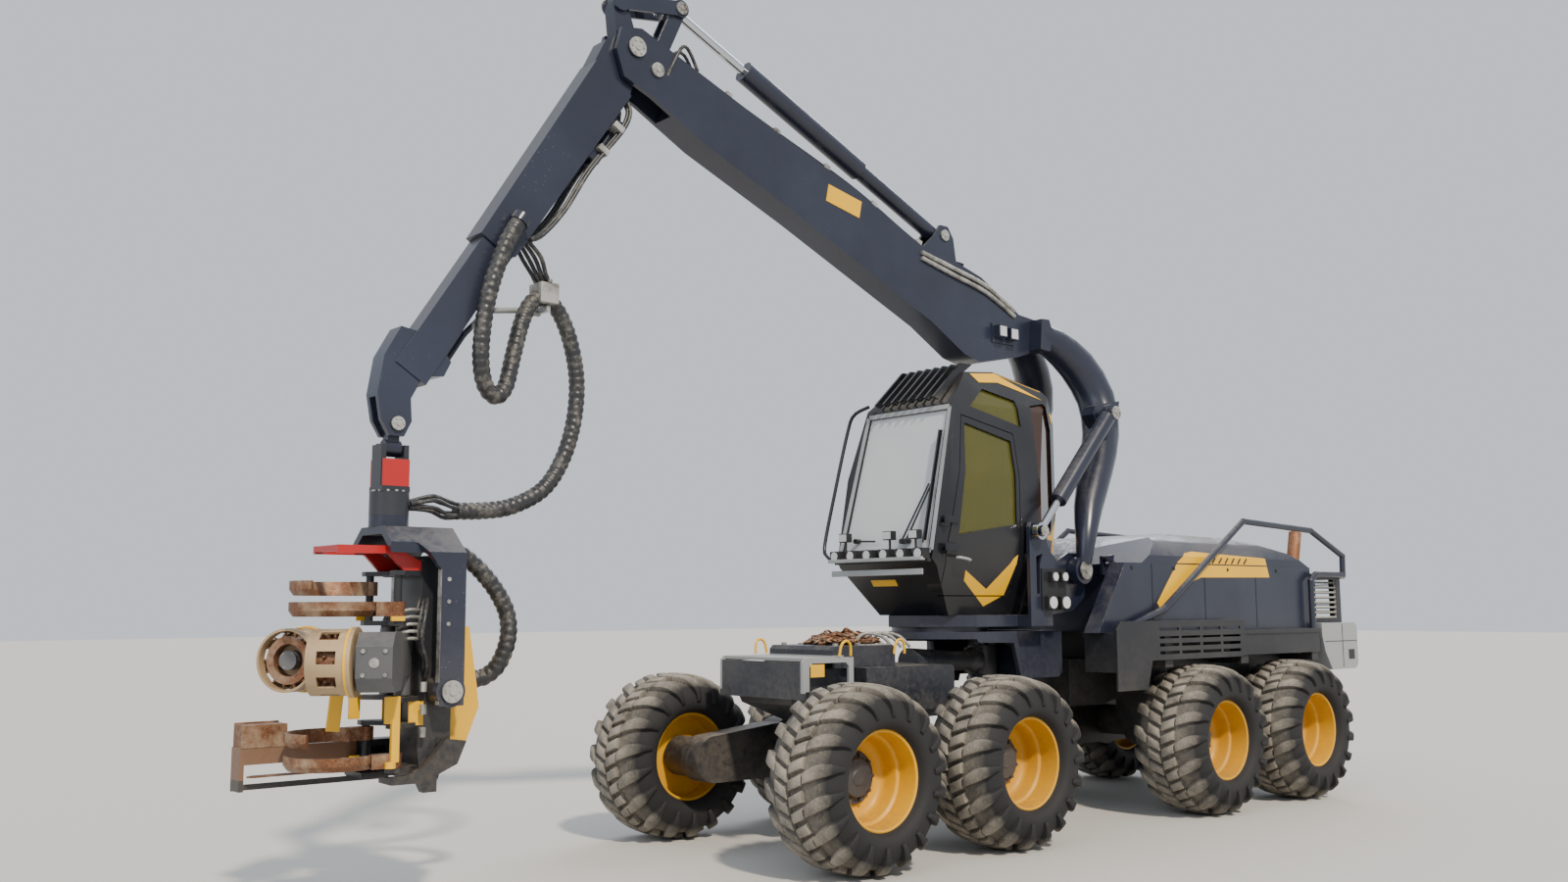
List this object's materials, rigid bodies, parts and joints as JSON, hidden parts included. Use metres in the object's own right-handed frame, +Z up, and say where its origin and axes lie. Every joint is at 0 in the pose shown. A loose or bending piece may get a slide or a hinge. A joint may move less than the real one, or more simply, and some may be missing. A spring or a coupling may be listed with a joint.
{
  "type": "forestry harvester",
  "caption": "Wheeled timber harvester: three frames hinged in a row, a cab that slews with an arched crane, and a hanging felling and delimbing head on a telescopic jib.",
  "frame": {"origin": "on the ground, under the middle of the machine's length and width", "axes": "+X forward, towards the crane's tip, +Y to the driver's left, +Z up"},
  "size_m": [11.23, 2.93, 6.5749],
  "materials": {
    "tyre_rubber": "matt, dusty",
    "rim_yellow": "satin, worn",
    "charcoal_paint": "satin",
    "dark_paint": "satin, dusty",
    "engine_grey": "rough",
    "exhaust_steel": "heat stained",
    "tinted_glass": "clear, slightly tinted",
    "seat_fabric": "woven",
    "lamp_housing": "matt",
    "rod_chrome": "polished",
    "red_paint": "satin, worn",
    "worn_steel": "worn, rusty in the corners",
    "hose_rubber": "matt sleeve"
  },
  "bodies": {
    "middle": {"mid_frame": "charcoal_paint"},
    "front": {"front_frame": "charcoal_paint", "front_bogies": "dark_paint"},
    "rear": {"rear_frame": "dark_paint", "rear_bogies": "dark_paint", "engine": "engine_grey", "cowl": "charcoal_paint", "body_panels": "dark_paint", "rear_grille": "dark_paint", "guard_rails": "charcoal_paint", "exhaust": "exhaust_steel"},
    "lid": {"hood": "charcoal_paint"},
    "upper": {"turntable": "charcoal_paint", "cab_shell": "charcoal_paint", "cab_glass": "tinted_glass", "operator_seat": "seat_fabric", "work_lights": "lamp_housing"},
    "door": {"cab_door": "charcoal_paint", "door_glass": "tinted_glass"},
    "boom": {"boom": "charcoal_paint"},
    "lift_barrel": {"lift_barrels": "charcoal_paint"},
    "lift_rod": {"lift_rods": "rod_chrome"},
    "jib_cylinder": {"jib_barrel": "charcoal_paint"},
    "jib_piston": {"jib_rod": "rod_chrome"},
    "rocker": {"rocker": "charcoal_paint"},
    "link": {"rocker_link": "charcoal_paint"},
    "jib": {"jib": "charcoal_paint"},
    "extension": {"extension": "charcoal_paint", "main_hose": "hose_rubber"},
    "tip": {"tip_link": "charcoal_paint"},
    "rotator": {"rotator": "red_paint"},
    "tilt_frame": {"tilt_frame": "charcoal_paint", "head_hose": "hose_rubber"},
    "head": {"head_frame": "charcoal_paint"},
    "feed_arm_l": {"feed_arm_left": "dark_paint"},
    "feed_arm_r": {"feed_arm_right": "dark_paint"},
    "feed_roller_l": {"feed_roller_left": "worn_steel"},
    "feed_roller_r": {"feed_roller_right": "worn_steel"},
    "upper_knife_l": {"upper_knife_left": "worn_steel"},
    "upper_knife_r": {"upper_knife_right": "worn_steel"},
    "lower_knife_l": {"lower_knife_left": "worn_steel"},
    "lower_knife_r": {"lower_knife_right": "worn_steel"},
    "saw": {"saw_bar": "worn_steel"},
    "wheel_fl1": {"tyre_fl1": "tyre_rubber", "rim_fl1": "rim_yellow"},
    "wheel_fr1": {"tyre_fr1": "tyre_rubber", "rim_fr1": "rim_yellow"},
    "wheel_fl2": {"tyre_fl2": "tyre_rubber", "rim_fl2": "rim_yellow"},
    "wheel_fr2": {"tyre_fr2": "tyre_rubber", "rim_fr2": "rim_yellow"},
    "wheel_rl1": {"tyre_rl1": "tyre_rubber", "rim_rl1": "rim_yellow"},
    "wheel_rr1": {"tyre_rr1": "tyre_rubber", "rim_rr1": "rim_yellow"},
    "wheel_rl2": {"tyre_rl2": "tyre_rubber", "rim_rl2": "rim_yellow"},
    "wheel_rr2": {"tyre_rr2": "tyre_rubber", "rim_rr2": "rim_yellow"}
  },
  "joints": [
    {"name": "front_steer", "type": "hinge", "parent": "middle", "child": "front", "pos_m": [-0.865, 0, 1.2], "axis": [0, 0, 1], "range_deg": [-20, 20]},
    {"name": "rear_steer", "type": "hinge", "parent": "middle", "child": "rear", "pos_m": [-1.465, 0, 1.2], "axis": [0, 0, -1], "range_deg": [-20, 20]},
    {"name": "slew", "type": "hinge", "parent": "middle", "child": "upper", "pos_m": [-0.315, 0, 1.7], "axis": [0, 0, 1], "range_deg": [-125, 125]},
    {"name": "cab_door", "type": "hinge", "parent": "upper", "child": "door", "pos_m": [0.275, 0.648, 2.3], "axis": [0, 0, -1], "range_deg": [0, 75]},
    {"name": "hood_lid", "type": "hinge", "parent": "rear", "child": "lid", "pos_m": [-1.88, 0, 2.305], "axis": [0, 1, 0], "range_deg": [0, 32]},
    {"name": "boom_lift", "type": "hinge", "parent": "upper", "child": "boom", "pos_m": [-1.355, 0, 2.19], "axis": [0, -1, 0], "range_deg": [-7, 22]},
    {"name": "lift_barrel", "type": "hinge", "parent": "boom", "child": "lift_barrel", "pos_m": [-1.855, 0, 3.64], "axis": [0, -1, 0], "range_deg": [-6, 6]},
    {"name": "lift_rod", "type": "slide", "parent": "lift_barrel", "child": "lift_rod", "axis": [0.6839, 0, -0.7295], "range_m": [-0.09, 0.26]},
    {"name": "jib_swing", "type": "hinge", "parent": "boom", "child": "jib", "pos_m": [3.035, 0, 6.05], "axis": [0, 1, 0], "range_deg": [-50, 24]},
    {"name": "jib_cylinder", "type": "hinge", "parent": "boom", "child": "jib_cylinder", "pos_m": [-0.355, 0, 5.2], "axis": [0, 1, 0], "range_deg": [-3, 3]},
    {"name": "jib_piston", "type": "slide", "parent": "jib_cylinder", "child": "jib_piston", "axis": [0.9146, 0, 0.4044], "range_m": [-0.4, 0.36]},
    {"name": "rocker", "type": "hinge", "parent": "boom", "child": "rocker", "pos_m": [2.845, 0, 5.92], "axis": [0, 1, 0], "range_deg": [-38, 36]},
    {"name": "link", "type": "hinge", "parent": "rocker", "child": "link", "pos_m": [2.585, 0, 6.5], "axis": [0, 1, 0], "range_deg": [-12, 12]},
    {"name": "telescope", "type": "slide", "parent": "jib", "child": "extension", "axis": [-0.5431, 0, 0.8397], "range_m": [-0.4, 0.84], "deforming": ["main_hose"]},
    {"name": "tip_swing", "type": "hinge", "parent": "extension", "child": "tip", "pos_m": [4.835, 0, 3.06], "axis": [0, -1, 0], "range_deg": [-45, 45]},
    {"name": "tip_sway", "type": "hinge", "parent": "tip", "child": "rotator", "pos_m": [4.835, 0, 2.905], "axis": [1, 0, 0], "range_deg": [-25, 25]},
    {"name": "rotator", "type": "hinge", "parent": "rotator", "child": "tilt_frame", "pos_m": [4.835, 0, 2.467], "axis": [0, 0, 1], "range_deg": [-170, 170]},
    {"name": "head_tilt", "type": "hinge", "parent": "tilt_frame", "child": "head", "pos_m": [4.555, 0, 1.36], "axis": [0, -1, 0], "range_deg": [-95, 0], "deforming": ["head_hose"]},
    {"name": "feed_arm_left", "type": "hinge", "parent": "head", "child": "feed_arm_l", "pos_m": [4.76, 0.105, 1.56], "axis": [0, 0, 1], "range_deg": [-4, 34]},
    {"name": "feed_arm_right", "type": "hinge", "parent": "head", "child": "feed_arm_r", "pos_m": [4.76, -0.105, 1.56], "axis": [0, 0, -1], "range_deg": [-4, 34]},
    {"name": "feed_roller_left", "type": "hinge", "parent": "feed_arm_l", "child": "feed_roller_l", "pos_m": [5.285, 0.3, 1.56], "axis": [0.7986, -0.6018, 0], "continuous": true},
    {"name": "feed_roller_right", "type": "hinge", "parent": "feed_arm_r", "child": "feed_roller_r", "pos_m": [5.285, -0.3, 1.56], "axis": [0.7986, 0.6018, 0], "continuous": true},
    {"name": "upper_knife_left", "type": "hinge", "parent": "head", "child": "upper_knife_l", "pos_m": [4.855, 0.205, 1.87], "axis": [0, 0, 1], "range_deg": [0, 45]},
    {"name": "upper_knife_right", "type": "hinge", "parent": "head", "child": "upper_knife_r", "pos_m": [4.855, -0.205, 2], "axis": [0, 0, -1], "range_deg": [0, 45]},
    {"name": "lower_knife_left", "type": "hinge", "parent": "head", "child": "lower_knife_l", "pos_m": [4.855, 0.205, 1.08], "axis": [0, 0, 1], "range_deg": [0, 45]},
    {"name": "lower_knife_right", "type": "hinge", "parent": "head", "child": "lower_knife_r", "pos_m": [4.855, -0.205, 0.95], "axis": [0, 0, -1], "range_deg": [0, 45]},
    {"name": "saw_bar", "type": "hinge", "parent": "head", "child": "saw", "pos_m": [4.745, -0.37, 0.89], "axis": [0, 0, 1], "range_deg": [0, 62]},
    {"name": "wheel_fl1", "type": "hinge", "parent": "front", "child": "wheel_fl1", "pos_m": [1.765, 1.11, 0.67], "axis": [0, 1, 0], "continuous": true},
    {"name": "wheel_fr1", "type": "hinge", "parent": "front", "child": "wheel_fr1", "pos_m": [1.765, -1.11, 0.67], "axis": [0, 1, 0], "continuous": true},
    {"name": "wheel_fl2", "type": "hinge", "parent": "front", "child": "wheel_fl2", "pos_m": [0.165, 1.11, 0.67], "axis": [0, 1, 0], "continuous": true},
    {"name": "wheel_fr2", "type": "hinge", "parent": "front", "child": "wheel_fr2", "pos_m": [0.165, -1.11, 0.67], "axis": [0, 1, 0], "continuous": true},
    {"name": "wheel_rl1", "type": "hinge", "parent": "rear", "child": "wheel_rl1", "pos_m": [-2.595, 1.11, 0.67], "axis": [0, 1, 0], "continuous": true},
    {"name": "wheel_rr1", "type": "hinge", "parent": "rear", "child": "wheel_rr1", "pos_m": [-2.595, -1.11, 0.67], "axis": [0, 1, 0], "continuous": true},
    {"name": "wheel_rl2", "type": "hinge", "parent": "rear", "child": "wheel_rl2", "pos_m": [-4.195, 1.11, 0.67], "axis": [0, 1, 0], "continuous": true},
    {"name": "wheel_rr2", "type": "hinge", "parent": "rear", "child": "wheel_rr2", "pos_m": [-4.195, -1.11, 0.67], "axis": [0, 1, 0], "continuous": true}
  ],
  "couplings": [
    {"joint": "lift_barrel", "follows": "boom_lift", "ratio": -0.1275},
    {"joint": "lift_rod", "follows": "boom_lift", "m_per_rad": 0.605},
    {"joint": "jib_cylinder", "follows": "jib_swing", "ratio": -0.012},
    {"joint": "jib_piston", "follows": "jib_swing", "m_per_rad": 0.427},
    {"joint": "rocker", "follows": "jib_swing", "ratio": 0.698},
    {"joint": "link", "follows": "jib_swing", "ratio": -0.188},
    {"joint": "feed_arm_right", "follows": "feed_arm_left", "ratio": 1},
    {"joint": "upper_knife_right", "follows": "upper_knife_left", "ratio": 1},
    {"joint": "lower_knife_right", "follows": "lower_knife_left", "ratio": 1}
  ]
}
